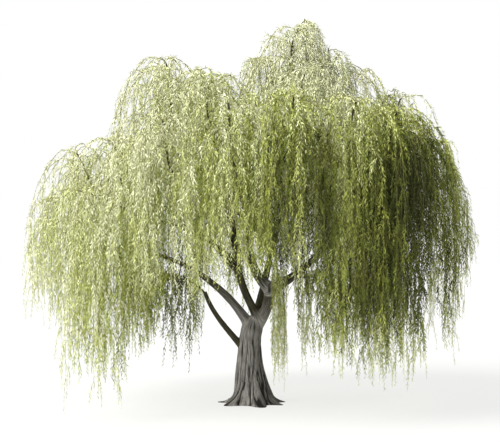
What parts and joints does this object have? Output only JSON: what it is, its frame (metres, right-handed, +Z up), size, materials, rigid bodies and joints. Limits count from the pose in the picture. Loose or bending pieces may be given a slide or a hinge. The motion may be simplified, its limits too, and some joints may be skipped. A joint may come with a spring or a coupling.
{
  "type": "weeping willow tree",
  "caption": "Broad weeping willow with a short flared trunk forking low into arching boughs, and a crown of hanging curtains of narrow leaves reaching almost to the ground.",
  "frame": {"origin": "centre of the trunk's flat cut at ground level", "axes": "+Z up along the trunk, -Y towards the side the picture shows, +X to its right"},
  "size_m": [13.9874, 12.5715, 12.02],
  "materials": {
    "bark": "rough furrowed bark",
    "bough_bark": "rough bark",
    "foliage": "soft matte leaves"
  },
  "bodies": {
    "root": {"bough_back": "bough_bark", "bough_centre": "bough_bark", "bough_centre_left": "bough_bark", "bough_leader": "bough_bark", "bough_left_arch": "bough_bark", "bough_low_left": "bough_bark", "bough_right": "bough_bark", "bough_to_back": "bough_bark", "bough_to_back_left": "bough_bark", "bough_to_back_right": "bough_bark", "bough_to_front": "bough_bark", "bough_to_front_left": "bough_bark", "bough_to_front_left_mid": "bough_bark", "bough_to_front_right": "bough_bark", "bough_to_front_right_mid": "bough_bark", "bough_to_front_strand": "bough_bark", "bough_to_left": "bough_bark", "bough_to_left_back": "bough_bark", "bough_to_low_left": "bough_bark", "bough_to_low_right": "bough_bark", "bough_to_right": "bough_bark", "bough_to_right_back": "bough_bark", "bough_to_right_front": "bough_bark", "bough_to_top": "bough_bark", "bough_to_upper_back_left": "bough_bark", "bough_to_upper_back_right": "bough_bark", "bough_to_upper_front_left": "bough_bark", "bough_to_upper_front_right": "bough_bark", "bough_to_upper_left": "bough_bark", "bough_to_upper_right": "bough_bark", "foliage_back": "foliage", "foliage_back_left": "foliage", "foliage_back_right": "foliage", "foliage_front": "foliage", "foliage_front_left": "foliage", "foliage_front_left_mid": "foliage", "foliage_front_right": "foliage", "foliage_front_right_mid": "foliage", "foliage_front_strand": "foliage", "foliage_left": "foliage", "foliage_left_arch": "foliage", "foliage_left_back": "foliage", "foliage_low_left": "foliage", "foliage_low_right": "foliage", "foliage_right": "foliage", "foliage_right_back": "foliage", "foliage_right_front": "foliage", "foliage_top": "foliage", "foliage_upper_back_left": "foliage", "foliage_upper_back_right": "foliage", "foliage_upper_front_left": "foliage", "foliage_upper_front_right": "foliage", "foliage_upper_left": "foliage", "foliage_upper_right": "foliage", "trunk": "bark"}
  },
  "joints": []
}
